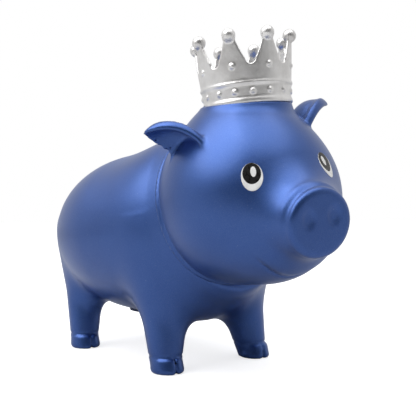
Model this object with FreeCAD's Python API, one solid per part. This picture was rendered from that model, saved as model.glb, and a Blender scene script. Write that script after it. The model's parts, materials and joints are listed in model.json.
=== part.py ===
import FreeCAD, Part
import math
import os

# Crowned piggy bank, in millimetres. +Z is up, the pig faces -Y and its own left side is +X.
# Everything is first laid out about the centre of the four feet, and then moved as a whole by
# STAND_SHIFT, so that the origin is on the ground under the middle of the pig's overall box.
V = FreeCAD.Vector
X_AXIS = V(1, 0, 0)
Y_AXIS = V(0, 1, 0)
Z_AXIS = V(0, 0, 1)

# ---- driving dimensions -------------------------------------------------------------------
WALL = 2.8                # skin of the hollow vinyl mouldings
STAND_SHIFT = V(3.3, 37.0, 0)

# barrel of the body: a long oval trunk and a taller oval at the shoulders
TRUNK_CENTRE = V(0, 14.3, 92.8)
TRUNK_HALF = V(73.0, 85.7, 61.9)
SHOULDER_CENTRE = V(0, -44.6, 99.0)
SHOULDER_HALF = V(53.2, 55.0, 67.3)
SHOULDER_BLEND = 30.0
FRONT_END_ANGLE = -72.0
REAR_END_ANGLE = 86.0
TRUNK_STATIONS = 16

# legs: the axis of each leg leans back and inwards from the foot to a point inside the trunk
TRACK = 80.0              # between left and right feet
WHEELBASE = 112.0         # between front and rear feet
LEG_TOP_Z = 75.0
LEG_FOOT_R = 10.4
LEG_LEAN_IN = 7.0
FRONT_LEG = {"side": -1, "lean": 14.5, "top_r": 21.3}
REAR_LEG = {"side": 1, "lean": 11.2, "top_r": 15.2}
HOOF_HEIGHT = 11.0
HOOF_STEP = 0.6
SOLE_ROUND = 1.2
LEG_CAVITY_FLOOR = 5.0
CLEFT_WIDTH = 1.4
CLEFT_DEPTH = 1.6

# neck joint: a flat round joint plane, tilted back from upright
NECK_CENTRE = V(0, -74.9, 111.4)
NECK_TILT = 16.0
NECK_GAP = 0.8            # shadow line between the head and the body
NECK_WALL = 3.0
NECK_HOLE_R = 28.0
NECK_RUNNING_FIT = 0.08   # radial clearance of the head on the collar
COLLAR_WALL = 3.0
COLLAR_FLANGE_R = 35.0
COLLAR_FLANGE_T = 2.5
RING_T = 2.8
RING_CLEARANCE = 0.3

# head, in its own frame: it sits turned to its right and tipped to its right
HEAD_YAW = -12.0
HEAD_ROLL = 8.0
HEAD_CENTRE = V(0, -104.5, 126.1)
HEAD_HALF = V(58.6, 63.7, 64.0)
HEAD_TAPER = 0.00203
CROWN_TAPER = 0.00003
SNOUT_ROOT = V(0, -28.0, -15.0)
SNOUT_TIP = V(0, -79.0, -22.0)
SNOUT_ROOT_R = 32.0
SNOUT_TIP_R = 19.8
SNOUT_WIDTH = 1.04
SNOUT_EDGE_ROUND = 3.5
NOSTRIL = {"spread": 9.3, "half_w": 4.0, "half_h": 5.2, "depth": 1.2}

# ears: flattened leaves that stand out to the side with a scooped front
EAR_ROOT = V(36.5, -8.0, 31.0)
EAR_TIP = V(67.0, -1.0, 43.0)
EAR_HALF_WIDTH = 13.0
EAR_HALF_THICK = 5.5
EAR_FACE = V(0.45, -0.35, -0.82)

# crown, about its own axis from the middle of its lower edge
CROWN_SEAT = V(4.8, -4.6, 51.2)
CROWN_TILT = V(-1.7, 2.6, 0)
CROWN_PAD_R = 29.2        # low round pad of the head under the crown
CROWN_PAD_T = 8.0
CROWN_FOOT_R = 28.6
CROWN_TIP_R = 32.4
CROWN_FOOT_BEAD_H = 1.8
CROWN_BEAD_OUT = 0.9
CROWN_BAND_H = 12.5
CROWN_RIDGE_HALF = 1.3
CROWN_VALLEY_H = 24.0
CROWN_VALLEY_R = 3.2
CROWN_TOP_H = 41.0
CROWN_BALL_H = 41.8
CROWN_BALL_R = 4.3
CROWN_WALL = 2.0
CROWN_TINES = 8
CROWN_TINE_TIP_HALF = 2.7
CROWN_STUD_SUNK = 0.9
CROWN_STUD_ROWS = ({"height": 7.4, "count": 16, "radius": 2.0},
                   {"height": 23.0, "count": 8, "radius": 2.2})

# coin slot along the top of the back, and the stopper port in the belly
SLOT_LENGTH = 38.0
SLOT_WIDTH = 5.0
SLOT_Y = 16.0
PORT_Y = 12.0
PORT_R = 17.0
PORT_SEAT_R = 21.5
PORT_BOSS_R = 24.5
PORT_SEAT_Z = 34.0
PORT_BOSS_TOP_Z = 38.0
PLUG_CLEARANCE = 0.3
PLUG_RIM_T = 2.4
PLUG_HEIGHT = 9.0
PLUG_DISH_R = 18.1
PLUG_DISH_DEPTH = 1.0
PLUG_BAR = V(18.0, 3.4, 0)  # finger bar across the dish

# printed eyes: thin ink films, thickness proud of the head
INK = 0.25
EYE_SPREAD = 27.3
EYE_OFF_CENTRE = -2.0     # both prints sit a little towards the pig's right
EYE_PLACE = V(0, -57.0, 8.2)
EYE_LOOK = V(0.52, -0.76, 0.39)
EYE_HALF = (6.4, 8.5)
PUPIL_HALF = (5.3, 6.0)
PUPIL_LIFT = 2.2
GLINT_HALF = (1.6, 2.6)
GLINT_SHIFT = 0.8         # towards the snout
GLINT_LIFT = 2.8

# tail: a small curl moulded on the rump
TAIL_Z = 100.0
TAIL_RING_R = 6.0
TAIL_ROD_R = 2.4
TAIL_SWEEP = 300.0

BIG = 400.0


def smooth_max(a, b, blend):
    """Larger of two values, with a rounded change-over that is blend wide."""
    overlap = max(blend - abs(a - b), 0.0) / blend
    return max(a, b) + overlap * overlap * blend / 4.0


def oval(centre, across, half_across, up, half_up):
    """Closed oval edge, always started on the same side so that lofts don't twist."""
    curve = Part.Circle(V(0, 0, 0), Z_AXIS, 1.0).toBSpline()
    for index, pole in enumerate(curve.getPoles(), start=1):
        curve.setPole(index, centre + across * (pole.x * half_across) + up * (pole.y * half_up))
    return Part.Wire([curve.toShape()])


def oval_block(centre, look, across, half_across, half_up, reach):
    """Straight oval rod along look, from reach behind the centre to reach in front of it."""
    up = look.cross(across)
    edge = oval(centre - look * reach, across, half_across, up, half_up)
    return Part.Face(edge).extrude(look * (2.0 * reach))


def ellipsoid(centre, axes, halves):
    """Ellipsoid with its three half-lengths along three perpendicular unit vectors."""
    ball = Part.makeSphere(1.0)
    a, b, c = [axis * half for axis, half in zip(axes, halves)]
    matrix = FreeCAD.Matrix(a.x, b.x, c.x, centre.x,
                            a.y, b.y, c.y, centre.y,
                            a.z, b.z, c.z, centre.z,
                            0, 0, 0, 1)
    return ball.transformGeometry(matrix)


# ---- frames -------------------------------------------------------------------------------
NECK_AXIS = V(0, -math.cos(math.radians(NECK_TILT)), math.sin(math.radians(NECK_TILT)))


def head_placement():
    """Turns the head about the middle of the neck, from its own frame to the pig's."""
    turn = FreeCAD.Rotation(Z_AXIS, HEAD_YAW).multiply(FreeCAD.Rotation(Y_AXIS, -HEAD_ROLL))
    arm = HEAD_CENTRE - NECK_CENTRE
    return FreeCAD.Placement(NECK_CENTRE + turn.multVec(arm), turn)


def beyond_neck(distance):
    """Everything on the head's side of the joint plane, from a distance along the neck axis."""
    block = Part.makeBox(BIG, BIG, BIG, V(-BIG / 2, -BIG / 2, 0))
    turn = FreeCAD.Rotation(Z_AXIS, NECK_AXIS)
    block.Placement = FreeCAD.Placement(NECK_CENTRE + NECK_AXIS * distance, turn)
    return block


def neck_disc(radius, start, end):
    """Round disc on the neck axis between two distances from the joint plane."""
    return Part.makeCylinder(radius, end - start, NECK_CENTRE + NECK_AXIS * start, NECK_AXIS)


# ---- body ---------------------------------------------------------------------------------
def trunk_section(y, inset):
    """Half width, top and bottom of the trunk at one station."""
    trunk = math.sqrt(max(0.0, 1 - ((y - TRUNK_CENTRE.y) / TRUNK_HALF.y) ** 2))
    shoulder = math.sqrt(max(0.0, 1 - ((y - SHOULDER_CENTRE.y) / SHOULDER_HALF.y) ** 2))
    half = smooth_max(TRUNK_HALF.x * trunk, SHOULDER_HALF.x * shoulder, SHOULDER_BLEND)
    top = smooth_max(TRUNK_CENTRE.z + TRUNK_HALF.z * trunk,
                     SHOULDER_CENTRE.z + SHOULDER_HALF.z * shoulder, SHOULDER_BLEND)
    bottom = -smooth_max(-TRUNK_CENTRE.z + TRUNK_HALF.z * trunk,
                         -SHOULDER_CENTRE.z + SHOULDER_HALF.z * shoulder, SHOULDER_BLEND)
    return half - inset, top - inset, bottom + inset


def trunk_form(inset):
    """Egg-shaped trunk, lofted through ovals that crowd towards both ends."""
    front = SHOULDER_CENTRE.y - SHOULDER_HALF.y
    rear = TRUNK_CENTRE.y + TRUNK_HALF.y
    middle = (front + rear) / 2
    reach = (rear - front) / 2 - inset
    wires = []
    for step in range(TRUNK_STATIONS):
        share = step / (TRUNK_STATIONS - 1)
        angle = math.radians(FRONT_END_ANGLE + (REAR_END_ANGLE - FRONT_END_ANGLE) * share)
        y = middle + reach * math.sin(angle)
        outer_y = middle + (reach + inset) * math.sin(angle)
        half, top, bottom = trunk_section(outer_y, 0)
        shrink = 1 - inset / half if half > 4 * inset else 0.75
        centre = V(0, y, (top + bottom) / 2)
        wires.append(oval(centre, X_AXIS, half * shrink, Z_AXIS, (top - bottom) / 2 * shrink))
    return Part.makeLoft(wires, True, False)


def leg_form(leg, x_side, inset):
    """Tapered leg on its hoof; with an inset, the cavity inside it."""
    foot = V(x_side * TRACK / 2, leg["side"] * WHEELBASE / 2, 0)
    lean = V(-x_side * LEG_LEAN_IN, leg["lean"], LEG_TOP_Z)

    def ring(z, extra):
        share = z / LEG_TOP_Z
        radius = LEG_FOOT_R + (leg["top_r"] - LEG_FOOT_R) * share + extra - inset
        return oval(foot + lean * share, X_AXIS, radius, Y_AXIS, radius)

    if inset:
        return Part.makeLoft([ring(LEG_CAVITY_FLOOR, 0), ring(LEG_TOP_Z, 0)], True, False)
    leg_solid = Part.makeLoft([ring(HOOF_HEIGHT, 0), ring(LEG_TOP_Z, 0)], True, False)
    hoof_r = LEG_FOOT_R + HOOF_STEP
    hoof = Part.makeCylinder(hoof_r, HOOF_HEIGHT, foot)
    rims = [edge for edge in hoof.Edges if edge.Closed and abs(edge.CenterOfMass.z) < 0.01]
    hoof = hoof.makeFillet(SOLE_ROUND, rims)
    cleft = Part.makeBox(CLEFT_WIDTH, 2 * CLEFT_DEPTH, HOOF_HEIGHT,
                         foot + V(-CLEFT_WIDTH / 2, -hoof_r - CLEFT_DEPTH, 0))
    return leg_solid.fuse(hoof.cut(cleft))


def tail_form():
    """Curled tail: most of a ring standing on the rump."""
    rump_y = TRUNK_CENTRE.y + TRUNK_HALF.y
    ring = Part.makeTorus(TAIL_RING_R, TAIL_ROD_R, V(0, 0, 0), Z_AXIS, -180, 180, TAIL_SWEEP)
    tip = Part.makeSphere(TAIL_ROD_R, V(TAIL_RING_R * math.cos(math.radians(TAIL_SWEEP)),
                                        TAIL_RING_R * math.sin(math.radians(TAIL_SWEEP)), 0))
    curl = ring.fuse(tip)
    curl.Placement = FreeCAD.Placement(V(0, rump_y + 3.2, TAIL_Z), FreeCAD.Rotation(Y_AXIS, 90))
    return curl


def body_shell():
    outer = trunk_form(0)
    for leg in (FRONT_LEG, REAR_LEG):
        for x_side in (-1, 1):
            outer = outer.fuse(leg_form(leg, x_side, 0))
    outer = outer.fuse(tail_form())
    outer = outer.cut(beyond_neck(-NECK_GAP / 2))
    inner = trunk_form(WALL).cut(beyond_neck(-NECK_GAP / 2 - NECK_WALL))
    for leg in (FRONT_LEG, REAR_LEG):
        for x_side in (-1, 1):
            inner = inner.fuse(leg_form(leg, x_side, WALL))
    boss_bottom = PORT_SEAT_Z - 10
    boss = Part.makeCylinder(PORT_BOSS_R, PORT_BOSS_TOP_Z - boss_bottom, V(0, PORT_Y, boss_bottom))
    shell = outer.cut(inner.cut(boss))
    shell = shell.cut(Part.makeCylinder(PORT_SEAT_R, 20, V(0, PORT_Y, PORT_SEAT_Z - 20)))
    shell = shell.cut(Part.makeCylinder(PORT_R, 30, V(0, PORT_Y, PORT_SEAT_Z - 10)))
    slot = Part.makeBox(SLOT_WIDTH, SLOT_LENGTH, 40,
                        V(-SLOT_WIDTH / 2, SLOT_Y - SLOT_LENGTH / 2, TRUNK_CENTRE.z + 40))
    corners = [edge for edge in slot.Edges
               if abs(edge.Vertexes[0].Point.z - edge.Vertexes[-1].Point.z) > 1]
    slot = slot.makeFillet(SLOT_WIDTH * 0.45, corners)
    shell = shell.cut(slot)
    return shell.cut(neck_disc(NECK_HOLE_R, -20, 20))


# ---- head ---------------------------------------------------------------------------------
def skull_form(inset):
    """Egg-shaped head, narrower at the top, in the head's own frame."""
    wires = []
    for step in range(15):
        angle = math.radians(-85 + 168 * step / 14)
        z = HEAD_HALF.z * math.sin(angle)
        narrowing = 1 - HEAD_TAPER * z - CROWN_TAPER * max(z, 0) ** 2
        half_x = HEAD_HALF.x * math.cos(angle) * narrowing
        half_y = HEAD_HALF.y * math.cos(angle) * narrowing
        shrink = 1 - inset / half_x if half_x > 4 * inset else 0.75
        height = z * (1 - inset / HEAD_HALF.z)
        wires.append(oval(V(0, 0, height), X_AXIS, half_x * shrink, Y_AXIS, half_y * shrink))
    return Part.makeLoft(wires, True, False)


def snout_form(inset):
    """Tapered snout with a rounded flat nose disc, in the head's own frame."""
    axis = (SNOUT_TIP - SNOUT_ROOT).normalize()
    up = X_AXIS.cross(axis) * -1
    tip = SNOUT_TIP - axis * inset
    root_r = SNOUT_ROOT_R - inset
    tip_r = SNOUT_TIP_R - inset
    root_oval = oval(SNOUT_ROOT, X_AXIS, root_r * SNOUT_WIDTH, up, root_r)
    tip_oval = oval(tip, X_AXIS, tip_r * SNOUT_WIDTH, up, tip_r)
    snout = Part.makeLoft([root_oval, tip_oval], True, False)
    if inset:
        return snout
    rims = [edge for edge in snout.Edges if (edge.CenterOfMass - tip).Length < 1.0]
    snout = snout.makeFillet(SNOUT_EDGE_ROUND, rims)
    for x_side in (-1, 1):
        pit = ellipsoid(tip + X_AXIS * (x_side * NOSTRIL["spread"]), (X_AXIS, up, axis),
                        (NOSTRIL["half_w"], NOSTRIL["half_h"], NOSTRIL["depth"]))
        snout = snout.cut(pit)
    return snout


def mirrored(point, x_side):
    return V(point.x * x_side, point.y, point.z)


def ear_form(x_side):
    """Flat leaf with a scooped front, in the head's own frame."""
    root = mirrored(EAR_ROOT, x_side)
    tip = mirrored(EAR_TIP, x_side)
    along = (tip - root).normalize()
    face = mirrored(EAR_FACE, x_side)
    face = (face - along * face.dot(along)).normalize()
    across = face.cross(along)
    half_length = (tip - root).Length / 2 + 6.0
    centre = tip - along * half_length
    leaf = ellipsoid(centre, (along, across, face), (half_length, EAR_HALF_WIDTH, EAR_HALF_THICK))
    scoop = ellipsoid(centre + face * EAR_HALF_THICK, (along, across, face),
                      (half_length - 5.0, EAR_HALF_WIDTH - 3.0, EAR_HALF_THICK * 0.9))
    return leaf.cut(scoop)


def crown_placement():
    """From the crown's own frame to the head's."""
    tilt = FreeCAD.Rotation(X_AXIS, CROWN_TILT.x).multiply(FreeCAD.Rotation(Y_AXIS, CROWN_TILT.y))
    return FreeCAD.Placement(CROWN_SEAT, tilt)


def head_outer():
    pad = Part.makeCylinder(CROWN_PAD_R, CROWN_PAD_T, V(0, 0, -CROWN_PAD_T))
    pad.Placement = crown_placement().multiply(pad.Placement)
    return skull_form(0).fuse(snout_form(0)).fuse(pad)


def to_pig(shape):
    """Places a shape made in the head's own frame on the pig."""
    placed = shape.copy()
    placed.Placement = head_placement().multiply(placed.Placement)
    return placed


def head_shell():
    outer = head_outer()
    for x_side in (-1, 1):
        outer = outer.fuse(ear_form(x_side))
    outer = to_pig(outer).common(beyond_neck(NECK_GAP / 2))
    inner = to_pig(skull_form(WALL).fuse(snout_form(WALL)))
    inner = inner.common(beyond_neck(NECK_GAP / 2 + NECK_WALL))
    shell = outer.cut(inner)
    return shell.cut(neck_disc(NECK_HOLE_R + NECK_RUNNING_FIT, -20, 20))


# ---- neck joint ---------------------------------------------------------------------------
def neck_collar():
    """Flanged sleeve, pushed through the body's neck hole from the inside."""
    inner_face = -NECK_GAP / 2 - NECK_WALL
    end = NECK_GAP / 2 + NECK_WALL + RING_CLEARANCE + RING_T
    flange = neck_disc(COLLAR_FLANGE_R, inner_face - COLLAR_FLANGE_T, inner_face)
    sleeve = neck_disc(NECK_HOLE_R, inner_face - COLLAR_FLANGE_T, end)
    bore = neck_disc(NECK_HOLE_R - COLLAR_WALL, -30, 30)
    return flange.fuse(sleeve).cut(bore)


def neck_ring():
    """Ring that snaps on the collar inside the head and keeps the head on."""
    start = NECK_GAP / 2 + NECK_WALL + RING_CLEARANCE
    ring = neck_disc(COLLAR_FLANGE_R, start, start + RING_T)
    return ring.cut(neck_disc(NECK_HOLE_R, -30, 30))


# ---- crown --------------------------------------------------------------------------------
def crown_radius(height):
    """The crown's outside flares a little from its foot to the tips."""
    return CROWN_FOOT_R + (CROWN_TIP_R - CROWN_FOOT_R) * height / CROWN_BALL_H


def crown_bead(height, half_height, stand_out):
    """Start, middle and end of a rounded bead that runs round the outside of the crown."""
    low, high = height - half_height, height + half_height
    return (V(crown_radius(low), 0, low), V(crown_radius(height) + stand_out, 0, height),
            V(crown_radius(high), 0, high))


def crown_wall():
    """Flared ring with a rounded foot and a ridge."""
    top = V(crown_radius(CROWN_TOP_H), 0, CROWN_TOP_H)
    bottom = V(crown_radius(0), 0, 0)
    foot = crown_bead(CROWN_FOOT_BEAD_H, CROWN_FOOT_BEAD_H, CROWN_BEAD_OUT)
    ridge = crown_bead(CROWN_BAND_H, CROWN_RIDGE_HALF, CROWN_BEAD_OUT)
    inward = V(-CROWN_WALL, 0, 0)
    edges = [Part.Arc(*foot), Part.LineSegment(foot[2], ridge[0]), Part.Arc(*ridge),
             Part.LineSegment(ridge[2], top), Part.LineSegment(top, top + inward),
             Part.LineSegment(top + inward, bottom + inward),
             Part.LineSegment(bottom + inward, bottom)]
    profile = Part.Face(Part.Wire([edge.toShape() for edge in edges]))
    return profile.revolve(V(0, 0, 0), Z_AXIS, 360)


def crown_notch(angle):
    """Valley between two tines: a round floor and two straight sides, cut from the axis out."""
    out = V(math.sin(angle), -math.cos(angle), 0)
    side = V(math.cos(angle), math.sin(angle), 0)
    top_half = CROWN_TIP_R * math.sin(math.pi / CROWN_TINES) - CROWN_TINE_TIP_HALF
    low = V(0, 0, CROWN_VALLEY_H + CROWN_VALLEY_R)
    high = V(0, 0, CROWN_TOP_H + 1)
    corners = [side * CROWN_VALLEY_R + low, side * top_half + high,
               side * -top_half + high, side * -CROWN_VALLEY_R + low]
    edges = [Part.LineSegment(a, b).toShape() for a, b in zip(corners, corners[1:])]
    floor = Part.Arc(corners[3], V(0, 0, CROWN_VALLEY_H), corners[0]).toShape()
    return Part.Face(Part.Wire(edges + [floor])).extrude(out * (CROWN_TIP_R + 10))


def crown_out(index, count):
    """Direction from the crown's axis to one of its evenly spaced details."""
    angle = 2 * math.pi * index / count
    return V(math.sin(angle), -math.cos(angle), 0)


def crown():
    ring = crown_wall()
    for index in range(CROWN_TINES):
        ring = ring.cut(crown_notch(2 * math.pi * (index + 0.5) / CROWN_TINES))
    for index in range(CROWN_TINES):
        ball = crown_out(index, CROWN_TINES) * (CROWN_TIP_R - CROWN_WALL / 2) + V(0, 0, CROWN_BALL_H)
        ring = ring.fuse(Part.makeSphere(CROWN_BALL_R, ball))
    for row in CROWN_STUD_ROWS:
        reach = crown_radius(row["height"]) - CROWN_STUD_SUNK
        for index in range(row["count"]):
            stud = crown_out(index, row["count"]) * reach + V(0, 0, row["height"])
            ring = ring.fuse(Part.makeSphere(row["radius"], stud))
    ring.Placement = crown_placement()
    return to_pig(ring.cut(skull_form(0)))


# ---- belly stopper ------------------------------------------------------------------------
def belly_plug():
    """Soft stopper with a flat rim, a hollow stem and a finger bar in a dish under it."""
    seat = V(0, PORT_Y, PORT_SEAT_Z)
    rim_bottom = seat - V(0, 0, PLUG_CLEARANCE / 2 + PLUG_RIM_T)
    rim = Part.makeCylinder(PORT_SEAT_R - PLUG_CLEARANCE, PLUG_RIM_T, rim_bottom)
    stem_r = PORT_R - PLUG_CLEARANCE
    stem = Part.makeCylinder(stem_r, PLUG_HEIGHT, rim_bottom)
    hollow = Part.makeCylinder(stem_r - 2.4, PLUG_HEIGHT, rim_bottom + V(0, 0, PLUG_RIM_T + 0.4))
    dish = Part.makeCylinder(PLUG_DISH_R, PLUG_DISH_DEPTH, rim_bottom)
    bar = Part.makeBox(PLUG_BAR.x, PLUG_BAR.y, PLUG_DISH_DEPTH, rim_bottom - PLUG_BAR / 2)
    return rim.fuse(stem).cut(hollow).cut(dish.cut(bar))


# ---- printed eyes -------------------------------------------------------------------------
def eye_films(x_side):
    """White, pupil and glint of one eye, inlaid in each other as one thin ink film."""
    look = mirrored(EYE_LOOK, x_side).normalize()
    across = Z_AXIS.cross(look).normalize()
    up = look.cross(across)
    place = EYE_PLACE + X_AXIS * (x_side * EYE_SPREAD + EYE_OFF_CENTRE)

    def print_block(side_shift, lift, halves):
        return oval_block(place + across * side_shift + up * lift, look, across, *halves, 16)

    white = print_block(0, 0, EYE_HALF)
    pupil = print_block(0, PUPIL_LIFT, PUPIL_HALF)
    glint = print_block(-x_side * GLINT_SHIFT, GLINT_LIFT, GLINT_HALF)
    skin = skull_form(-INK).cut(skull_form(0))
    films = (skin.common(white.cut(pupil)), skin.common(pupil.cut(glint)), skin.common(glint))
    return [to_pig(film) for film in films]


# ---- assembly -----------------------------------------------------------------------------
def export(name, shape):
    placed = shape.copy()
    placed.translate(STAND_SHIFT)
    placed.exportStep(os.path.join("parts", name + ".step"))


def build():
    os.makedirs("parts", exist_ok=True)
    export("body_shell", body_shell())
    export("head_shell", head_shell())
    export("crown", crown())
    export("neck_collar", neck_collar())
    export("neck_ring", neck_ring())
    export("belly_plug", belly_plug())
    for side_name, x_side in (("left", 1), ("right", -1)):
        white, pupil, glint = eye_films(x_side)
        export("eye_white_" + side_name, white)
        export("eye_pupil_" + side_name, pupil)
        export("eye_glint_" + side_name, glint)


build()
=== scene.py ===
import json
import math

import bpy
import numpy as np
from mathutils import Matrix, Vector


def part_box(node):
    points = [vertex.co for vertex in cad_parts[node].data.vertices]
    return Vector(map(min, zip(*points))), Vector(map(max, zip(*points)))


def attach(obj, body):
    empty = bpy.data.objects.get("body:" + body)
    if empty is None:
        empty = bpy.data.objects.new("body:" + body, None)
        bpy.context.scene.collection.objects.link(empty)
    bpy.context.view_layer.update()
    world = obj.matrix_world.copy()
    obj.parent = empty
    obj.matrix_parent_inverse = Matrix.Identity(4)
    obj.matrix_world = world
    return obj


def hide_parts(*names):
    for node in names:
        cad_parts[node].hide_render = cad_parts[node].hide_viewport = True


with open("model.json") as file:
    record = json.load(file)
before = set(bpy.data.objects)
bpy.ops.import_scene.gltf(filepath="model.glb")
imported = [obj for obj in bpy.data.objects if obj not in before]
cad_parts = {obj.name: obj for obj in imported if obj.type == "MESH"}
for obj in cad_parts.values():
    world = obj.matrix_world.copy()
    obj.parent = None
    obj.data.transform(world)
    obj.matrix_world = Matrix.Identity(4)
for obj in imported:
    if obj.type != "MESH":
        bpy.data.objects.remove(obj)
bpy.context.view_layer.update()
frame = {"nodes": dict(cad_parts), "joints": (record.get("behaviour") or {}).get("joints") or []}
MM = 0.001

# ---- driving dimensions, in millimetres about the middle of the four feet ------------------
# The pig faces -Y, +X is its own left and +Z is up.
NECK_CENTRE = np.array([0.0, -74.9, 111.4])
NECK_TILT = 16.0
NECK_GAP = 0.8
NECK_HOLE_R, NECK_HOLE_REACH, NECK_HOLE_ROUND = 28.0, 12.0, 0.7
HEAD_LIP, HEAD_LIP_RUN, HEAD_RIM_ROUND = 2.2, 4.6, 1.2
SHOULDER_FLARE, SHOULDER_FLARE_RUN, SHOULDER_RIM_ROUND = 2.5, 18.0, 2.0
SKIN_WALL = 2.8

TRUNK_CENTRE, TRUNK_HALF = (0, 14.3, 92.8), (73.0, 85.7, 61.9)
SHOULDER_CENTRE, SHOULDER_HALF = (0, -44.6, 99.0), (57.0, 55.0, 67.3)
SHOULDER_BLEND = 30.0

FOOT_X, FOOT_Y = 40.0, 56.0
LEG_TOP_Z, LEG_FOOT_R = 92.0, 10.3
LEG_BLEND, LEG_BLEND_TOP, LEG_BLEND_FALL = 18.0, 14.0, (48.0, 76.0)
FRONT_LEG = {"side": -1, "lean": 17.2, "lean_in": 9.8, "top_r": 24.6}
REAR_LEG = {"side": 1, "lean": 15.8, "lean_in": 9.8, "top_r": 19.8}
HOOF_TOP, HOOF_TOE, HOOF_STEP = 11.0, 1.9, 0.35
HOOF_FLARE, HOOF_ROUND, HOOF_DEPTH_SCALE = 0.9, 3.0, 0.94
HOOF_RING_DEPTH, HOOF_RING_WIDTH, CLEFT_DEPTH, CLEFT_WIDTH = 0.55, 0.55, 1.5, 0.55

TAIL_Z, TAIL_CURL_R, TAIL_STAND_OFF, TAIL_SIDE_RUN = 100.0, 5.6, 3.4, 5.2
TAIL_ROOT_R, TAIL_TIP_R, TAIL_BLEND = 3.0, 1.5, 3.0

SLOT_Y, SLOT_LENGTH, SLOT_WIDTH, SLOT_FLOOR, SLOT_EDGE_ROUND = 16.0, 38.0, 5.0, 30.0, 1.4
PORT_Y, PORT_R, PORT_SEAT_R, PORT_SEAT_Z = 12.0, 17.0, 21.5, 34.0
PORT_BOSS_R, PORT_BOSS_TOP_Z = 24.5, 38.0
PLUG_CLEARANCE, PLUG_RIM_T, PLUG_HEIGHT = 0.3, 2.4, 9.0
PLUG_DISH_INSET, PLUG_DISH_DEPTH, PLUG_WALL, PLUG_FLOOR = 3.4, 1.0, 2.7, 2.8
PLUG_BAR_HALF, PLUG_BAR_R, PLUG_BAR_RISE = 9.0, 1.7, 1.3

HEAD_YAW, HEAD_ROLL = -12.0, 8.0
HEAD_CENTRE, HEAD_HALF = np.array([0, -104.5, 126.1]), (58.6, 63.7, 64.0)
HEAD_TAPER, BROW_TAPER = 0.00203, 0.00004
SNOUT_ROOT, SNOUT_TIP = np.array([0, -28.0, -15.0]), np.array([0, -79.0, -22.0])
SNOUT_ROOT_R, SNOUT_TIP_R, SNOUT_WIDTH, SNOUT_BLEND = 32.0, 20.4, 1.04, 12.0
SNOUT_EDGE_ROUND = 4.0
SNOUT_CHANNEL_BACK, SNOUT_CHANNEL_DEPTH, SNOUT_CHANNEL_WIDTH = 4.8, 0.8, 2.0
SNOUT_FOLD_BACK, SNOUT_FOLD_HEIGHT, SNOUT_FOLD_WIDTH = 8.4, 0.5, 2.6
NOSTRIL_X, NOSTRIL_Z, NOSTRIL_HALF, NOSTRIL_DEPTH = 8.8, 3.6, (4.2, 5.2), 1.0
JAW_CENTRE, JAW_HALF, JAW_BLEND = (0, -29.0, -28.5), (33.0, 29.0, 28.0), 12.0
MOUTH_Z, MOUTH_CURL, MOUTH_HALF, MOUTH_FADE = -55.0, 0.0197, 32.0, 12.0
MOUTH_LINE_DEPTH, MOUTH_LINE_WIDTH, LIP_HEIGHT, LIP_REACH = 0.6, 1.0, 1.3, 13.0
# Side, root, tip and the way that the hollow looks, for each ear: they don't sit quite alike.
EARS = (
    (-1, (-36.5, -8.0, 31.0), (-69.0, -1.0, 42.5), (-0.42, -0.22, -0.88)),
    (1, (33.5, -8.0, 38.0), (69.5, -1.0, 48.5), (0.44, 0.02, -0.90)),
)
EAR_WIDTH, EAR_BEND, EAR_ARCH, EAR_THICK = 15.0, 2.0, 7.5, 1.6
EAR_CUP_REAR, EAR_CUP_FRONT, EAR_ROLL, EAR_TAPER, EAR_BLEND = 12.5, 5.5, 1.5, 0.22, 2.5

CROWN_SEAT, CROWN_TILT = np.array([5.2, -4.6, 51.6]), (-1.7, 2.6)
CROWN_FOOT_R, CROWN_TIP_R, CROWN_WALL = 28.1, 32.4, 2.0
CROWN_PAD_R, CROWN_PAD_T, CROWN_PAD_BLEND = 28.6, 8.0, 5.0
CROWN_RIDGE_H, CROWN_RIDGE_OUT, CROWN_FOOT_OUT, CROWN_JOIN = 12.5, 0.75, 1.0, 1.2
CROWN_VALLEY_H, CROWN_VALLEY_R, CROWN_TOP_H = 24.0, 3.2, 41.0
CROWN_BALL_H, CROWN_BALL_R = 41.8, 4.3
CROWN_TINES, CROWN_TINE_TIP_HALF = 8, 2.7
# Height, count, radius and how deep the middle is sunk, for each row of studs.
CROWN_STUDS = ((7.4, 16, 1.9, 0.7), (23.0, 8, 2.0, 0.65))

EYE_SPREAD, EYE_OFF_CENTRE, EYE_Y, EYE_Z = 27.3, -2.0, -57.0, 10.4
EYE_LOOK = (0.52, -0.76, 0.39)
EYE_START_OFF = 6.0
# Name, shift towards the snout, lift, half width, half height and how proud of the face the film is.
INK_LAYERS = (
    ("white", 0.0, 0.0, 6.4, 8.5, 0.16),
    ("pupil", 0.0, 2.0, 5.4, 6.5, 0.22),
    ("glint", 1.0, 2.8, 1.7, 3.2, 0.28),
)

# Spacing of the samples that each piece's surface is found from, and how many rows go at a time.
BODY_STEP, HEAD_STEP, CROWN_STEP, PLUG_STEP = 1.5, 1.15, 0.65, 0.6
SLAB_ROWS = 12
# Room round a CAD node's box in which its visual form is sampled.
SKIN_SPARE, EARS_SPARE, SMALL_SPARE = 3.0, 6.0, 1.5


def pig_shift():
    """Millimetres from the middle of the feet to the part's own frame, read off the neck joint."""
    joint = next(j for j in frame["joints"] if j["name"] == "head_swivel")
    return np.array(joint["pos_m"]) / MM - NECK_CENTRE


SHIFT = pig_shift()


# ---- distance formulas ----------------------------------------------------------------------
def length(p):
    return np.sqrt(np.einsum("...i,...i", p, p))


def smooth_min(a, b, blend):
    overlap = np.maximum(blend - np.abs(a - b), 0.0) / blend
    return np.minimum(a, b) - overlap * overlap * blend * 0.25


def smooth_max(a, b, blend):
    return -smooth_min(-a, -b, blend)


def bump(value, width):
    return np.exp(-((value / width) ** 2))


def ramp(value, low, high):
    share = np.clip((value - low) / (high - low), 0, 1)
    return share * share * (3 - 2 * share)


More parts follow.
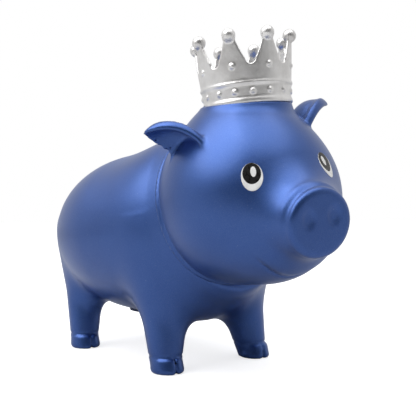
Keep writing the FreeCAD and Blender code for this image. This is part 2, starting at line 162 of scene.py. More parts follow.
def ellipsoid(p, centre, halves):
    q = (p - np.asarray(centre, float)) / np.asarray(halves, float)
    near = length(q)
    slope = length(q / np.asarray(halves, float)) + 1e-9
    return near * (near - 1.0) / slope


def cone(p, start, end, r_start, r_end, edge):
    start, end = np.asarray(start, float), np.asarray(end, float)
    run = np.linalg.norm(end - start)
    axis = (end - start) / run
    q = p - start
    along = q @ axis
    out = length(q - along[..., None] * axis)
    side = out - (r_start + (r_end - r_start) * np.clip(along / run, 0, 1))
    return smooth_max(side, np.maximum(-along, along - run), edge)


def post(p, centre, radius, low, high):
    """Upright round post between two heights."""
    side = np.hypot(p[..., 0] - centre[0], p[..., 1] - centre[1]) - radius
    return np.maximum(side, np.maximum(low - p[..., 2], p[..., 2] - high))


def turn(axis, degrees):
    x, y, z = np.asarray(axis, float) / np.linalg.norm(axis)
    cross = np.array([[0, -z, y], [z, 0, -x], [-y, x, 0]])
    angle = math.radians(degrees)
    return np.eye(3) + math.sin(angle) * cross + (1 - math.cos(angle)) * cross @ cross


NECK_AXIS = np.array([0, -math.cos(math.radians(NECK_TILT)), math.sin(math.radians(NECK_TILT))])
HEAD_TURN = turn((0, 0, 1), HEAD_YAW) @ turn((0, -1, 0), HEAD_ROLL)
CROWN_TURN = turn((1, 0, 0), CROWN_TILT[0]) @ turn((0, 1, 0), CROWN_TILT[1])


def to_head(p):
    return (p - NECK_CENTRE) @ HEAD_TURN + NECK_CENTRE - HEAD_CENTRE


def from_head(q):
    return (q + HEAD_CENTRE - NECK_CENTRE) @ HEAD_TURN.T + NECK_CENTRE


def neck_distance(p):
    return (p - NECK_CENTRE) @ NECK_AXIS


def neck_bore(p):
    q = p - NECK_CENTRE
    along = q @ NECK_AXIS
    out = length(q - along[..., None] * NECK_AXIS)
    return np.maximum(out - NECK_HOLE_R, np.abs(along) - NECK_HOLE_REACH)


# ---- body -----------------------------------------------------------------------------------
def leg(p, x_side, shape):
    """Leaning round leg on a hoof with a toe, a ring groove above and a cleft in front."""
    foot = np.array([x_side * FOOT_X, shape["side"] * FOOT_Y, 0.0])
    top = foot + (-x_side * shape["lean_in"], shape["lean"], LEG_TOP_Z)
    z = p[..., 2]
    limb = cone(p, foot + (0, 0, 2.0), top, LEG_FOOT_R, shape["top_r"], 0.5)
    low = np.clip(1 - z / HOOF_TOP, 0, 1)
    q = p - foot
    ahead = -q[..., 1] - HOOF_TOE * low
    out = np.hypot(q[..., 0], HOOF_DEPTH_SCALE * ahead)
    side = out - (LEG_FOOT_R + HOOF_STEP + HOOF_FLARE * low)
    hoof = smooth_max(side, np.maximum(-z, z - HOOF_TOP), HOOF_ROUND)
    ring = HOOF_RING_DEPTH * bump(z - HOOF_TOP - 0.2, HOOF_RING_WIDTH)
    front = ramp(ahead, 2.0, 6.0) * ramp(z, HOOF_TOP + 0.5, HOOF_TOP - 1.5)
    cleft = CLEFT_DEPTH * bump(q[..., 0], CLEFT_WIDTH + 0.5 * low) * front
    return np.minimum(limb, hoof) + np.where(np.abs(side) < 6, ring + cleft, 0)


def tail_curl():
    """Points and radii of the curl on the rump: out to the rear, round once and in to its tip."""
    turns = np.linspace(0, 1, 40)
    angle = np.radians(-150 + 400 * turns)
    reach = TAIL_CURL_R * (1.08 - 0.42 * turns)
    rump_y = TRUNK_CENTRE[1] + TRUNK_HALF[1]
    x = -TAIL_SIDE_RUN / 2 + TAIL_SIDE_RUN * turns
    y = rump_y + TAIL_STAND_OFF + reach * np.sin(angle + math.pi / 2)
    z = TAIL_Z - reach * np.cos(angle + math.pi / 2)
    return np.stack([x, y, z], 1), TAIL_ROOT_R + (TAIL_TIP_R - TAIL_ROOT_R) * turns


def tail(p):
    """Distance to the curl, worked out only close to it."""
    points, radii = tail_curl()
    far_off, reach = 30.0, 22.0
    away = np.full(p.shape[:-1], far_off)
    near = length(p - points.mean(0)) < reach
    if near.any():
        local = p[near]
        best = np.full(len(local), far_off)
        for point, radius in zip(points, radii):
            best = smooth_min(best, length(local - point) - radius, 0.6)
        away[near] = best
    return away


def body_skin(p):
    """Outside of the body: trunk, shoulders, legs and tail, cut off square to the neck axis."""
    trunk = smooth_min(ellipsoid(p, TRUNK_CENTRE, TRUNK_HALF),
                       ellipsoid(p, SHOULDER_CENTRE, SHOULDER_HALF), SHOULDER_BLEND)
    legs = [leg(p, x_side, shape) for shape in (FRONT_LEG, REAR_LEG) for x_side in (-1, 1)]
    blend = LEG_BLEND + (LEG_BLEND_TOP - LEG_BLEND) * ramp(p[..., 2], *LEG_BLEND_FALL)
    whole = smooth_min(trunk, np.minimum.reduce(legs), blend)
    whole = smooth_min(whole, tail(p), TAIL_BLEND)
    behind = -neck_distance(p)
    whole = whole - SHOULDER_FLARE * ramp(behind, SHOULDER_FLARE_RUN, 0.0)
    return smooth_max(whole, NECK_GAP / 2 - behind, SHOULDER_RIM_ROUND)


def coin_slot(p):
    """Round-ended slot through the back, above the trunk's middle."""
    half_run = (SLOT_LENGTH - SLOT_WIDTH) / 2
    ahead = np.clip(p[..., 1] - SLOT_Y, -half_run, half_run)
    side = np.hypot(p[..., 0], p[..., 1] - SLOT_Y - ahead) - SLOT_WIDTH / 2
    return np.maximum(side, TRUNK_CENTRE[2] + SLOT_FLOOR - p[..., 2])


def body_form(p):
    """Hollow body with its neck hole, coin slot and stopper port."""
    skin = body_skin(p)
    boss = post(p, (0, PORT_Y), PORT_BOSS_R, 0, PORT_BOSS_TOP_Z)
    cavity = smooth_max(skin + SKIN_WALL, -boss, 1.0)
    shell = np.maximum(skin, -cavity)
    seat = post(p, (0, PORT_Y), PORT_SEAT_R, -1, PORT_SEAT_Z)
    port = post(p, (0, PORT_Y), PORT_R, 0, PORT_BOSS_TOP_Z + 9)
    openings = np.minimum.reduce([seat, port, neck_bore(p)])
    shell = smooth_max(shell, -openings, NECK_HOLE_ROUND)
    return smooth_max(shell, -coin_slot(p), SLOT_EDGE_ROUND)


# ---- head -----------------------------------------------------------------------------------
def skull(q):
    z = q[..., 2]
    narrow = 1 - HEAD_TAPER * np.clip(z, -70, 70) - BROW_TAPER * np.clip(z, 0, 70) ** 2
    spread = np.stack([1 / narrow, 1 / narrow, np.ones_like(z)], -1)
    return ellipsoid(q * spread, (0, 0, 0), HEAD_HALF) * 0.85


def crown_frame(q):
    return (q - CROWN_SEAT) @ CROWN_TURN


def dome(q):
    """Skull with the low round pad that the crown stands on."""
    pad = post(crown_frame(q), (0, 0), CROWN_PAD_R, -CROWN_PAD_T, -0.1)
    return smooth_min(skull(q), pad, CROWN_PAD_BLEND)


def snout(q):
    """Muzzle cone with a thin nose disc in front and a fold of skin behind the disc's upper side."""
    run = np.linalg.norm(SNOUT_TIP - SNOUT_ROOT)
    axis = (SNOUT_TIP - SNOUT_ROOT) / run
    rel = q - SNOUT_ROOT
    along = rel @ axis
    back = run - along
    flat = (rel - along[..., None] * axis) * np.array([1 / SNOUT_WIDTH, 1, 1])
    out = length(flat)
    share = np.clip(along / run, 0, 1)
    radius = SNOUT_ROOT_R + (SNOUT_TIP_R - SNOUT_ROOT_R) * share
    upper = ramp(flat[..., 2] / (out + 1e-6), -0.35, 0.5)
    channel = SNOUT_CHANNEL_DEPTH * bump(back - SNOUT_CHANNEL_BACK, SNOUT_CHANNEL_WIDTH)
    fold = SNOUT_FOLD_HEIGHT * bump(back - SNOUT_FOLD_BACK, SNOUT_FOLD_WIDTH)
    radius = radius - channel * (0.4 + 0.6 * upper) + fold * upper
    disc = smooth_max(out - radius, np.maximum(-along, -back), SNOUT_EDGE_ROUND)
    pits = 0
    for side in (-1, 1):
        reach = ((flat[..., 0] * SNOUT_WIDTH - side * NOSTRIL_X) / NOSTRIL_HALF[0]) ** 2
        reach = reach + ((flat[..., 2] - NOSTRIL_Z) / NOSTRIL_HALF[1]) ** 2
        pits = pits + NOSTRIL_DEPTH * np.exp(-(reach**2)) * (back < 6)
    return disc + pits


def ear(q, x_side, root, tip, face):
    """Cupped leaf whose hollow looks outwards and down; its front rim is a little thicker."""
    root, tip, face = np.array(root), np.array(tip), np.array(face)
    reach = np.linalg.norm(tip - root)
    along = (tip - root) / reach
    face = face - along * (face @ along)
    face /= np.linalg.norm(face)
    across = np.cross(face, along) * x_side
    rel = q - root
    u, v, w = rel @ along, rel @ across, rel @ face
    share = np.clip(u / reach, -0.6, 1.0)
    v = v - EAR_BEND * (1 - share**2)
    middle, half_run = 0.22 * reach, 0.78 * reach
    wide = EAR_WIDTH * (1 - EAR_TAPER * share)
    outline = np.sqrt(((u - middle) / half_run) ** 2 + (v / wide) ** 2)
    edge = (outline - 1) * np.minimum(wide, half_run) * 0.8
    cup = EAR_CUP_FRONT + (EAR_CUP_REAR - EAR_CUP_FRONT) * ramp(v / wide, 0.4, -0.8)
    sheet = w - cup * np.clip((v / wide) ** 2, 0, 1.2) + 4 * EAR_ARCH * share * (1 - share)
    thick = EAR_THICK + EAR_ROLL * bump(outline - 0.88, 0.13) * ramp(v / wide, -0.2, 0.5)
    return smooth_max(np.abs(sheet) - thick, edge, 2.5) * 0.8


def smile(q):
    """How far the smile line presses in, less how far the lip above it stands out."""
    x = q[..., 0]
    height = q[..., 2] - (MOUTH_Z + MOUTH_CURL * x * x)
    strength = ramp(np.abs(x), MOUTH_HALF, MOUTH_HALF - MOUTH_FADE) * ramp(-q[..., 1], 15, 28)
    lip = LIP_HEIGHT * ramp(height, 0, 1.2) * ramp(height, LIP_REACH, 2.0)
    return (MOUTH_LINE_DEPTH * bump(height, MOUTH_LINE_WIDTH) - lip) * strength


def face_skin(q):
    """Skull, snout and jaw with the smile, in the head's own frame; no ears."""
    whole = smooth_min(dome(q), snout(q), SNOUT_BLEND)
    whole = smooth_min(whole, ellipsoid(q, JAW_CENTRE, JAW_HALF), JAW_BLEND)
    return whole + smile(q)


def head_form(p):
    """Hollow head with the hole for the neck joint."""
    q = to_head(p)
    face = face_skin(q)
    skin = face
    for shape in EARS:
        skin = smooth_min(skin, ear(q, *shape), EAR_BLEND)
    ahead = neck_distance(p)
    skin = skin - HEAD_LIP * ramp(ahead, HEAD_LIP_RUN, 0.8)
    skin = smooth_max(skin, NECK_GAP / 2 - ahead, HEAD_RIM_ROUND)
    cavity = np.maximum(face + SKIN_WALL, NECK_GAP / 2 + SKIN_WALL - ahead)
    return smooth_max(np.maximum(skin, -cavity), -neck_bore(p), NECK_HOLE_ROUND)


# ---- crown ----------------------------------------------------------------------------------
def crown_radius(height):
    return CROWN_FOOT_R + (CROWN_TIP_R - CROWN_FOOT_R) * height / CROWN_BALL_H


def crown_point(angle, inset, height):
    radius = crown_radius(height) - inset
    return np.array([radius * math.sin(angle), -radius * math.cos(angle), height])


def crown_ring(c):
    """Flared wall with a rounded foot and a ridge a third of the way up."""
    h = c[..., 2]
    out = np.hypot(c[..., 0], c[..., 1])
    foot = CROWN_FOOT_OUT * ramp(h, 4.6, 1.6)
    ridge = CROWN_RIDGE_OUT * bump(h - CROWN_RIDGE_H, 1.2)
    outside = out - (crown_radius(h) + foot + ridge)
    inside = crown_radius(h) - CROWN_WALL - out
    wall = smooth_max(outside, inside, 1.0)
    return smooth_max(wall, np.maximum(-h, h - CROWN_TOP_H), 0.8)


def crown_notches(c):
    """The valleys between the tines: round floors and sides that open upwards."""
    h = c[..., 2]
    pitch = 2 * math.pi / CROWN_TINES
    angle = np.arctan2(c[..., 0], -c[..., 1]) / pitch
    across = (angle - np.floor(angle) - 0.5) * pitch * crown_radius(h)
    floor_h = CROWN_VALLEY_H + CROWN_VALLEY_R
    top_half = CROWN_TIP_R * math.sin(pitch / 2) - CROWN_TINE_TIP_HALF
    share = np.clip((h - floor_h) / (CROWN_TOP_H - floor_h), 0, 1.3)
    half = CROWN_VALLEY_R + (top_half - CROWN_VALLEY_R) * share**0.86
    sides = np.maximum((np.abs(across) - half) * 0.87, floor_h - h)
    floor = np.hypot(across, h - floor_h) - CROWN_VALLEY_R
    return np.minimum(sides, floor)


def crown_form(p):
    """Ring with eight balled tines and two rows of studs, hollow down to the skull."""
    q = to_head(p)
    c = crown_frame(q)
    ring = smooth_max(crown_ring(c), -crown_notches(c), CROWN_JOIN)
    for index in range(CROWN_TINES):
        ball = crown_point(2 * math.pi * index / CROWN_TINES, CROWN_WALL / 2, CROWN_BALL_H)
        ring = smooth_min(ring, length(c - ball) - CROWN_BALL_R, CROWN_JOIN)
    for height, count, radius, sunk in CROWN_STUDS:
        for index in range(count):
            stud = crown_point(2 * math.pi * index / count, sunk, height)
            ring = smooth_min(ring, length(c - stud) - radius, 0.9)
    return np.maximum(ring, 0.1 - skull(q))


# ---- stopper --------------------------------------------------------------------------------
def plug_form(p):
    """Round dished rim with a finger bar across it, on a hollow stem."""
    face_z = PORT_SEAT_Z - PLUG_CLEARANCE / 2 - PLUG_RIM_T
    seat_z = face_z + PLUG_RIM_T
    centre = (0, PORT_Y)
    rim = post(p, centre, PORT_SEAT_R - PLUG_CLEARANCE, face_z, seat_z)
    dish = post(p, centre, PORT_SEAT_R - PLUG_DISH_INSET, face_z - 5, face_z + PLUG_DISH_DEPTH)
    stem = post(p, centre, PORT_R - PLUG_CLEARANCE, seat_z - 1, face_z + PLUG_HEIGHT)
    hollow = post(p, centre, PORT_R - PLUG_WALL, face_z + PLUG_FLOOR, face_z + PLUG_HEIGHT + 5)
    shape = smooth_max(smooth_min(rim, stem, 0.5), -hollow, 0.8)
    shape = smooth_max(shape, -dish, 0.9)
    bar_ends = [(x, PORT_Y, face_z + PLUG_BAR_RISE) for x in (-PLUG_BAR_HALF, PLUG_BAR_HALF)]
    bar = cone(p, *bar_ends, PLUG_BAR_R, PLUG_BAR_R, 1.5)
    bar = np.maximum(bar, face_z - p[..., 2])
    return smooth_min(shape, bar, 1.2)


# ---- meshes ---------------------------------------------------------------------------------
def sample_grid(form, low, high, step):
    counts = [int(math.ceil((b - a) / step)) + 1 for a, b in zip(low, high)]
    ticks = [a + step * np.arange(n) for a, n in zip(low, counts)]
    values = np.empty(counts)
    for start in range(0, counts[0], SLAB_ROWS):
        rows = slice(start, start + SLAB_ROWS)
        grid = np.meshgrid(ticks[0][rows], ticks[1], ticks[2], indexing="ij")
        values[rows] = form(np.stack(grid, -1))
    return values


def surface_net(values, low, step):
    """Quads round the zero surface of a sampled distance, one vertex in each cell that it crosses."""
    cells = np.array(values.shape) - 1
    stride = np.array([cells[1] * cells[2], cells[2], 1])
    total = int(cells.prod())
    sums, hits, quads = np.zeros((total, 3)), np.zeros(total), []
    for axis in range(3):
        here = np.moveaxis(values, axis, 0)
        near, far = (np.moveaxis(part, 0, axis) for part in (here[:-1], here[1:]))
        crossed = (near < 0) != (far < 0)
        at = np.argwhere(crossed)
        start, end = near[crossed], far[crossed]
        point = at.astype(float)
        point[:, axis] += start / (start - end)
        ring = []
        for one, two in ((0, 0), (1, 0), (1, 1), (0, 1)):
            cell = at.copy()
            cell[:, (axis + 1) % 3] -= one
            cell[:, (axis + 2) % 3] -= two
            flat = cell @ stride
            ring.append(flat)
            hits += np.bincount(flat, minlength=total)
            for d in range(3):
                sums[:, d] += np.bincount(flat, weights=point[:, d], minlength=total)
        ring = np.stack(ring, 1)
        ring[start > 0] = ring[start > 0][:, ::-1]
        quads.append(ring)
    used = hits > 0
    index = np.cumsum(used) - 1
    points = low + step * sums[used] / hits[used][:, None]
    return points, index[np.concatenate(quads)]


def settle(points, form, step, rounds=3):
    """Moves the vertices on to the exact surface."""
    nudge = 0.04
    for _ in range(rounds):
        value = form(points)
        change = [form(points + d) - form(points - d) for d in np.eye(3) * nudge]
        slope = np.stack(change, 1) / (2 * nudge)
        move = -slope * (value / (np.einsum("ij,ij->i", slope, slope) + 1e-6))[:, None]
        size = length(move)[:, None] + 1e-9
        points = points + move * np.minimum(1, 0.5 * step / size)
    return points


def mesh_piece(name, points, quads):
    """Blender object with quads from points in millimetres about the middle of the feet."""
    mesh = bpy.data.meshes.new(name)
    mesh.vertices.add(len(points))
    mesh.vertices.foreach_set("co", ((points + SHIFT) * MM).astype(np.float32).ravel())
    mesh.loops.add(quads.size)
    mesh.loops.foreach_set("vertex_index", quads.astype(np.int32).ravel())
    mesh.polygons.add(len(quads))
    mesh.polygons.foreach_set("loop_start", np.arange(0, quads.size, 4, dtype=np.int32))
    mesh.update(calc_edges=True)
    mesh.validate()
    mesh.shade_smooth()
    piece = bpy.data.objects.new(name, mesh)
    bpy.context.scene.collection.objects.link(piece)
    return piece


def form_piece(name, form, low, high, step):
    """Mesh piece on the zero surface of a distance formula within a box."""
    low, high = np.asarray(low, float), np.asarray(high, float)
    points, quads = surface_net(sample_grid(form, low, high, step), low, step)
    return mesh_piece(name, settle(points, form, step), quads)


def node_reach(node, spare):
    """A CAD node's box about the middle of the feet, with a margin."""
    low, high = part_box(node)
    return np.array(low) / MM - SHIFT - spare, np.array(high) / MM - SHIFT + spare


# ---- printed eyes ---------------------------------------------------------------------------
def drop_on_face(points, look):
    """Slides points of the head's frame along the look direction until they lie on the face."""
    for _ in range(24):
        points = points - look * face_skin(points)[:, None] * 0.8
    return points


def ink_film(name, x_side, shift, lift, half_across, half_up, proud):
    """Thin oval film of ink that follows the face, thinner towards its edge."""
    look = np.array([x_side * EYE_LOOK[0], EYE_LOOK[1], EYE_LOOK[2]])
    look /= np.linalg.norm(look)
    across = np.cross((0, 0, 1), look)
    across /= np.linalg.norm(across)
    up = np.cross(look, across)
    place = np.array([x_side * EYE_SPREAD + EYE_OFF_CENTRE, EYE_Y, EYE_Z])
    place = place + across * (-x_side * shift) + up * lift + look * EYE_START_OFF
    sides, rings = 72, 14
    angle = 2 * math.pi * np.arange(sides) / sides
    layers, heights = [], []
    for share in [*np.linspace(0.08, 0.985, rings), 1.0, 1.0]:
        layers.append(place + share * (np.outer(np.cos(angle) * half_across, across)
                                       + np.outer(np.sin(angle) * half_up, up)))
        heights.append(proud)
    heights[-2:] = [proud * 0.6, -0.3]
    surface = [drop_on_face(layer, look) + look * height for layer, height in zip(layers, heights)]
    points = np.concatenate(surface)
    quads = []
    for ring in range(len(surface) - 1):
        for k in range(sides):
            n = (k + 1) % sides
            inner, outer = ring * sides, (ring + 1) * sides
            quads.append([inner + k, outer + k, outer + n, inner + n])
    half = sides // 2
    for k in range(half - 1):
        quads.append([k, k + 1, sides - 2 - k, sides - 1 - k])
    return mesh_piece(name, from_head(points), np.array(quads))


# ---- materials ------------------------------------------------------------------------------
def new_material(name, **values):
    """Principled material with constant values set on the shader's own sockets."""
    material = bpy.data.materials.new(name)
    material.use_nodes = True
    tree = material.node_tree
    shader = tree.nodes["Principled BSDF"]
    for socket, value in values.items():
        shader.inputs[socket.replace("_", " ")].default_value = value
    return material, tree, shader


def node(tree, kind, **values):
    """New node with its properties or, failing those, its inputs set by name."""
    made = tree.nodes.new(kind)
    for key, value in values.items():
        if hasattr(made, key):
            setattr(made, key, value)
        else:
            made.inputs[key.replace("_", " ")].default_value = value
    return made


def place_nodes(tree, scale, detail=4.0, roughness=0.55):
    """Noise that stays fixed to the piece."""
    coordinates = node(tree, "ShaderNodeTexCoord")
    noise = node(tree, "ShaderNodeTexNoise", Scale=scale, Detail=detail, Roughness=roughness)
    tree.links.new(coordinates.outputs["Object"], noise.inputs["Vector"])
    return noise


def colour_ramp(tree, source, stops):
    ramp_node = node(tree, "ShaderNodeValToRGB")
    elements = ramp_node.color_ramp.elements
    while len(elements) < len(stops):
        elements.new(0.5)
    for element, (place, colour) in zip(elements, stops):
        element.position = place
        element.color = (*colour, 1.0)
    tree.links.new(source, ramp_node.inputs["Fac"])
    return ramp_node


def grey(value):
    return (value, value, value)


def bump_from(tree, shader, sources, distance):
    """Chains height sources, each with its own strength, into the shader's normal."""
    last = None
    for source, strength in sources:
        step = node(tree, "ShaderNodeBump", Strength=strength, Distance=distance)
        tree.links.new(source, step.inputs["Height"])
        if last:
            tree.links.new(last, step.inputs["Normal"])
        last = step.outputs["Normal"]
    tree.links.new(last, shader.inputs["Normal"])


def pearl_blue(name):
    """Satin pearl paint: fine metallic sparkle, soft unevenness, orange peel and specks of dust."""
    material, tree, shader = new_material(
        name, Metallic=0.82, IOR=1.5, Coat_Weight=0.45, Coat_Roughness=0.32, Coat_IOR=1.5)
    cloud = place_nodes(tree, 26, 5, 0.6)
    base = colour_ramp(tree, cloud.outputs["Fac"],
                       [(0.3, (0.026, 0.078, 0.295)), (0.7, (0.036, 0.099, 0.345))])
    flake = place_nodes(tree, 2600, 1, 0.5)
    sparkle = colour_ramp(tree, flake.outputs["Fac"], [(0.45, grey(0.0)), (0.75, grey(1.0))])
    lit = node(tree, "ShaderNodeMix", data_type="RGBA", blend_type="MIX")
    lit.inputs[7].default_value = (0.11, 0.20, 0.43, 1)
    dim = node(tree, "ShaderNodeMath", operation="MULTIPLY")
    dim.inputs[1].default_value = 0.35
    tree.links.new(sparkle.outputs["Color"], dim.inputs[0])
    tree.links.new(dim.outputs["Value"], lit.inputs[0])
    tree.links.new(base.outputs["Color"], lit.inputs[6])
    speck = node(tree, "ShaderNodeTexVoronoi", Scale=230.0, Randomness=1.0)
    coordinates = node(tree, "ShaderNodeTexCoord")
    tree.links.new(coordinates.outputs["Object"], speck.inputs["Vector"])
    dust = colour_ramp(tree, speck.outputs["Distance"], [(0.02, grey(0.5)), (0.05, grey(0.0))])
    dusty = node(tree, "ShaderNodeMix", data_type="RGBA", blend_type="MIX")
    dusty.inputs[7].default_value = (0.42, 0.48, 0.6, 1)
    tree.links.new(dust.outputs["Color"], dusty.inputs[0])
    tree.links.new(lit.outputs[2], dusty.inputs[6])
    tree.links.new(dusty.outputs[2], shader.inputs["Base Color"])
    rough = colour_ramp(tree, cloud.outputs["Fac"], [(0.3, grey(0.37)), (0.7, grey(0.45))])
    tree.links.new(rough.outputs["Color"], shader.inputs["Roughness"])
    peel = place_nodes(tree, 420, 2, 0.5)
    wave = place_nodes(tree, 60, 2, 0.5)
    bump_from(tree, shader, [(wave.outputs["Fac"], 0.10), (peel.outputs["Fac"], 0.05),
                             (flake.outputs["Fac"], 0.03)], 0.001)
    return material


def silver_paint():
    """Brushed-on silver paint: cloudy and slightly rough."""
    material, tree, shader = new_material("silver_paint", Metallic=0.85, IOR=1.5,
                                          Coat_Weight=0.15, Coat_Roughness=0.35)
    cloud = place_nodes(tree, 55, 6, 0.65)
    base = colour_ramp(tree, cloud.outputs["Fac"],
                       [(0.3, (0.68, 0.665, 0.655)),
                        (0.52, (0.84, 0.83, 0.82)),
                        (0.72, (0.93, 0.925, 0.92))])
    tree.links.new(base.outputs["Color"], shader.inputs["Base Color"])
    fine = place_nodes(tree, 160, 5, 0.7)
    rough = colour_ramp(tree, fine.outputs["Fac"], [(0.3, grey(0.28)), (0.7, grey(0.44))])
    tree.links.new(rough.outputs["Color"], shader.inputs["Roughness"])
    grain = place_nodes(tree, 900, 2, 0.6)
    bump_from(tree, shader, [(cloud.outputs["Fac"], 0.25), (fine.outputs["Fac"], 0.16),
                             (grain.outputs["Fac"], 0.06)], 0.001)
    return material


def printed_ink(name, dark, light, roughness):
    """Smooth printed ink with a slightly uneven film."""
    material, tree, shader = new_material(name, IOR=1.35, Coat_Weight=0.12, Coat_Roughness=0.15)
    cloud = place_nodes(tree, 300, 3, 0.5)
    base = colour_ramp(tree, cloud.outputs["Fac"], [(0.35, dark), (0.65, light)])
    tree.links.new(base.outputs["Color"], shader.inputs["Base Color"])
    rough = colour_ramp(tree, cloud.outputs["Fac"],
                        [(0.3, grey(roughness)), (0.7, grey(roughness + 0.08))])
    tree.links.new(rough.outputs["Color"], shader.inputs["Roughness"])
    bump_from(tree, shader, [(cloud.outputs["Fac"], 0.05)], 0.001)
    return material


def moulded_plastic(name, dark, light, roughness, grain):
    """Plain moulded plastic or soft vinyl with a fine grain."""
    material, tree, shader = new_material(name, IOR=1.5)
    cloud = place_nodes(tree, 90, 4, 0.55)
    base = colour_ramp(tree, cloud.outputs["Fac"], [(0.3, dark), (0.7, light)])
    tree.links.new(base.outputs["Color"], shader.inputs["Base Color"])
    fine = place_nodes(tree, 1400, 2, 0.6)
    rough = colour_ramp(tree, fine.outputs["Fac"],
                        [(0.3, grey(roughness - 0.06)), (0.7, grey(roughness + 0.06))])
    tree.links.new(rough.outputs["Color"], shader.inputs["Roughness"])
    bump_from(tree, shader, [(fine.outputs["Fac"], grain)], 0.001)
    return material


# ---- pieces ---------------------------------------------------------------------------------
def finish_piece(piece, material, body, stands_for):
    piece.data.materials.append(material)
    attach(piece, body)
    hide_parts(stands_for)


def add_pig():
    """Body, head, crown and stopper, each in place of its CAD node."""
    body = form_piece("body_skin", body_form, *node_reach("body_shell", SKIN_SPARE), BODY_STEP)
    finish_piece(body, pearl_blue("pearl_blue_body"), "body", "body_shell")
    head = form_piece("head_skin", head_form, *node_reach("head_shell", EARS_SPARE), HEAD_STEP)
    finish_piece(head, pearl_blue("pearl_blue_head"), "head", "head_shell")
    crown = form_piece("silver_crown", crown_form, *node_reach("crown", SMALL_SPARE), CROWN_STEP)
    finish_piece(crown, silver_paint(), "head", "crown")
    plug = form_piece("belly_stopper", plug_form, *node_reach("belly_plug", SMALL_SPARE), PLUG_STEP)
    rubber = moulded_plastic("plug_rubber", (0.012, 0.022, 0.07), (0.018, 0.03, 0.09), 0.55, 0.12)
    finish_piece(plug, rubber, "plug", "belly_plug")


def add_eyes():
    """Three printed films for each eye."""
    white = printed_ink("eye_white", (0.82, 0.82, 0.81), (0.90, 0.90, 0.89), 0.3)
    black = printed_ink("eye_black", (0.010, 0.009, 0.009), (0.018, 0.017, 0.017), 0.25)
    inks = {"white": white, "pupil": black, "glint": white}
    for side_name, x_side in (("left", 1), ("right", -1)):
        for layer, *sizes in INK_LAYERS:
            film = ink_film(f"ink_{layer}_{side_name}", x_side, *sizes)
            finish_piece(film, inks[layer], "head", f"eye_{layer}_{side_name}")


def dress_joint():
    """The hidden neck pieces keep their CAD meshes and get a plastic."""
    plastic = moulded_plastic("joint_plastic", (0.34, 0.35, 0.36), (0.42, 0.43, 0.44), 0.45, 0.08)
    for name in ("neck_collar", "neck_ring"):
        slots = frame["nodes"][name].data.materials
        slots.clear()
        slots.append(plastic)


# ---- stage ----------------------------------------------------------------------------------
CAMERA_PLACE = (-328.0, -456.0, 117.3)
CAMERA_AZIMUTH, CAMERA_ELEVATION, CAMERA_LENS = -39.1, 0.6, 62.3
LIGHT_AIM_Z = 0.1
FLOOR_HALF, FLOOR_GREY, FLOOR_GLOW = 3.0, 0.62, 0.74
# Brightness of the studio, from at right angles to its dim side (0) to the middle of that side (1).
STUDIO_STOPS = ((0.0, 0.70), (0.35, 0.52), (0.66, 0.25), (0.88, 0.055), (1.0, 0.01))


def direction(azimuth, elevation):
    """Unit vector from the pig towards a place round it; azimuth 0 is in front of the pig."""
    a, e = math.radians(azimuth), math.radians(elevation)
    return Vector((math.sin(a) * math.cos(e), -math.cos(a) * math.cos(e), math.sin(e)))


def add_camera():
    camera = bpy.data.objects.new("camera", bpy.data.cameras.new("camera"))
    bpy.context.scene.collection.objects.link(camera)
    camera.location = Vector(np.array(CAMERA_PLACE) + SHIFT) * MM
    back = direction(CAMERA_AZIMUTH, CAMERA_ELEVATION)
    camera.rotation_mode = "QUATERNION"
    camera.rotation_quaternion = (-back).to_track_quat("-Z", "Y")
    camera.data.lens = CAMERA_LENS
    camera.data.sensor_width = 36
    camera.data.clip_start, camera.data.clip_end = 0.02, 30
    bpy.context.scene.camera = camera


def add_area(name, azimuth, elevation, distance, size, power):
    """Round soft light that looks at the pig; distance and size in metres, power in watts."""
    light = bpy.data.lights.new(name, "AREA")
    light.shape, light.size, light.energy = "DISK", size, power
    lamp = bpy.data.objects.new(name, light)
    back = direction(azimuth, elevation)
    lamp.location = back * distance + Vector((0, 0, LIGHT_AIM_Z))
    lamp.rotation_mode = "QUATERNION"
    lamp.rotation_quaternion = back.to_track_quat("Z", "Y")
    bpy.context.scene.collection.objects.link(lamp)


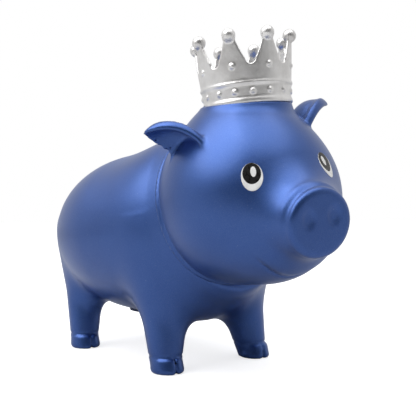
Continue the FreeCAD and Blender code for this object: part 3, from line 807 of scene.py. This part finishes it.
def add_world():
    """White studio whose surroundings are dim only round the camera's own side."""
    world = bpy.data.worlds.new("studio")
    world.use_nodes = True
    tree = world.node_tree
    lit = tree.nodes["Background"]
    coordinates = node(tree, "ShaderNodeTexCoord")
    facing = node(tree, "ShaderNodeVectorMath", operation="DOT_PRODUCT")
    facing.inputs[1].default_value = direction(CAMERA_AZIMUTH, 4)
    tree.links.new(coordinates.outputs["Generated"], facing.inputs[0])
    stops = [(place, grey(value)) for place, value in STUDIO_STOPS]
    dim = colour_ramp(tree, facing.outputs["Value"], stops)
    tree.links.new(dim.outputs["Color"], lit.inputs["Color"])
    lit.inputs["Strength"].default_value = 1.0
    seen = node(tree, "ShaderNodeBackground", Color=(1, 1, 1, 1), Strength=1.0)
    path = node(tree, "ShaderNodeLightPath")
    both = node(tree, "ShaderNodeMixShader")
    tree.links.new(path.outputs["Is Camera Ray"], both.inputs[0])
    tree.links.new(lit.outputs[0], both.inputs[1])
    tree.links.new(seen.outputs[0], both.inputs[2])
    tree.links.new(both.outputs[0], tree.nodes["World Output"].inputs["Surface"])
    bpy.context.scene.world = world


def add_floor():
    """Pale floor that is a little brighter to the eye, so that it runs into the white studio."""
    corners = [(x * FLOOR_HALF, y * FLOOR_HALF, 0) for x, y in ((-1, -1), (1, -1), (1, 1), (-1, 1))]
    mesh = bpy.data.meshes.new("floor")
    mesh.from_pydata(corners, [], [(0, 1, 2, 3)])
    floor = bpy.data.objects.new("floor", mesh)
    material, tree, shader = new_material("pale_floor", Base_Color=(*grey(FLOOR_GREY), 1),
                                          Roughness=0.9, Emission_Color=(1, 1, 1, 1))
    path = node(tree, "ShaderNodeLightPath")
    lift = node(tree, "ShaderNodeMath", operation="MULTIPLY")
    lift.inputs[1].default_value = FLOOR_GLOW
    tree.links.new(path.outputs["Is Camera Ray"], lift.inputs[0])
    tree.links.new(lift.outputs["Value"], shader.inputs["Emission Strength"])
    mesh.materials.append(material)
    bpy.context.scene.collection.objects.link(floor)


def add_stage():
    bpy.context.scene.view_settings.view_transform = "Standard"
    add_world()
    add_floor()
    add_area("key_light", -105, 52, 1.3, 1.3, 12)
    add_area("top_light", 0, 78, 1.3, 1.4, 8)


add_camera()
add_pig()
add_eyes()
dress_joint()
add_stage()
